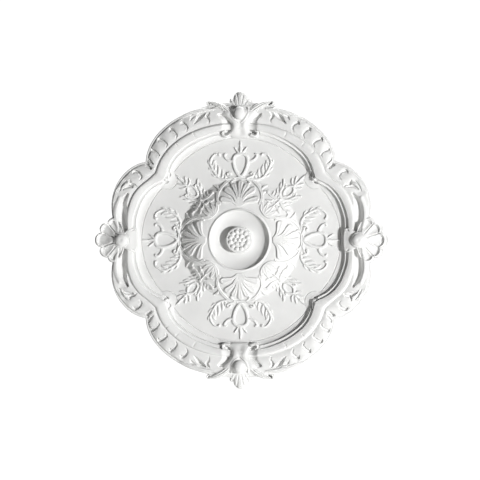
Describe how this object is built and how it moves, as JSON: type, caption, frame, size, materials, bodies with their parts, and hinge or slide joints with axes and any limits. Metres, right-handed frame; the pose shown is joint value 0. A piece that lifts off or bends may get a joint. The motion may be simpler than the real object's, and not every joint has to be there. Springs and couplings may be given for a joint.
{
  "type": "ceiling rose",
  "caption": "Moulded ceiling medallion: lobed leaf-carved frame with side shells and end crests around a flat field of scrollwork and a central dish with a button.",
  "frame": {"origin": "centre of the flat back, which is fixed to the ceiling", "axes": "+Y out of the flat back into the ceiling, so the carved face looks along -Y; +X to the right and +Z to a crested end as the face is seen. Turned so that -Y points down, it hangs under a ceiling."},
  "size_m": [0.385, 0.0306, 0.39],
  "materials": {
    "primed_white": "matt white factory primer on rigid foam"
  },
  "bodies": {
    "root": {"ceiling_rose": "primed_white"}
  },
  "joints": []
}
